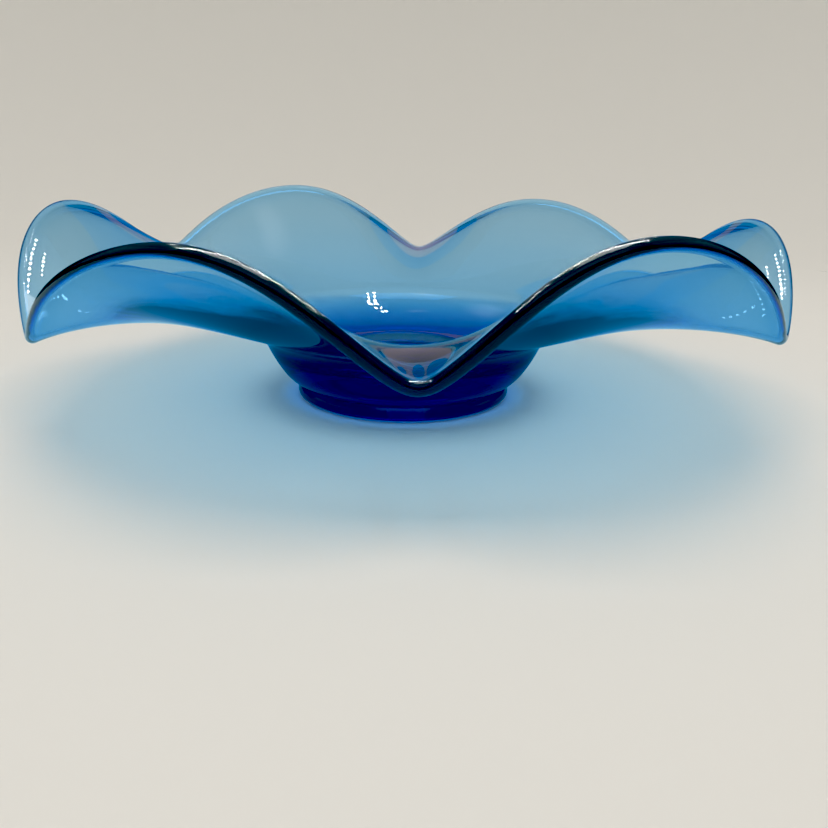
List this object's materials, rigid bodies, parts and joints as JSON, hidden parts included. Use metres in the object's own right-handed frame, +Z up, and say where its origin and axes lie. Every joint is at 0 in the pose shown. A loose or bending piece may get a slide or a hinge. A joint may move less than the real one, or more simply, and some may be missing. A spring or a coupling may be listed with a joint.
{
  "type": "art glass bowl",
  "caption": "Wide crimped bowl of transparent blue glass with up-swept lobes round the edge, a rounded well in the middle and an applied round foot.",
  "frame": {"origin": "on the surface that the bowl stands on, under the middle of the foot", "axes": "+Z up along the bowl's axis, -Y towards the crimped notch that faces the viewer, +X to the viewer's right"},
  "size_m": [0.3046, 0.2958, 0.0843],
  "materials": {
    "blue_glass": "fire-polished, clear cobalt blue",
    "foot_glass": "fire-polished, deep cobalt blue"
  },
  "bodies": {
    "root": {"bowl_body": "blue_glass", "foot": "foot_glass"}
  },
  "joints": []
}
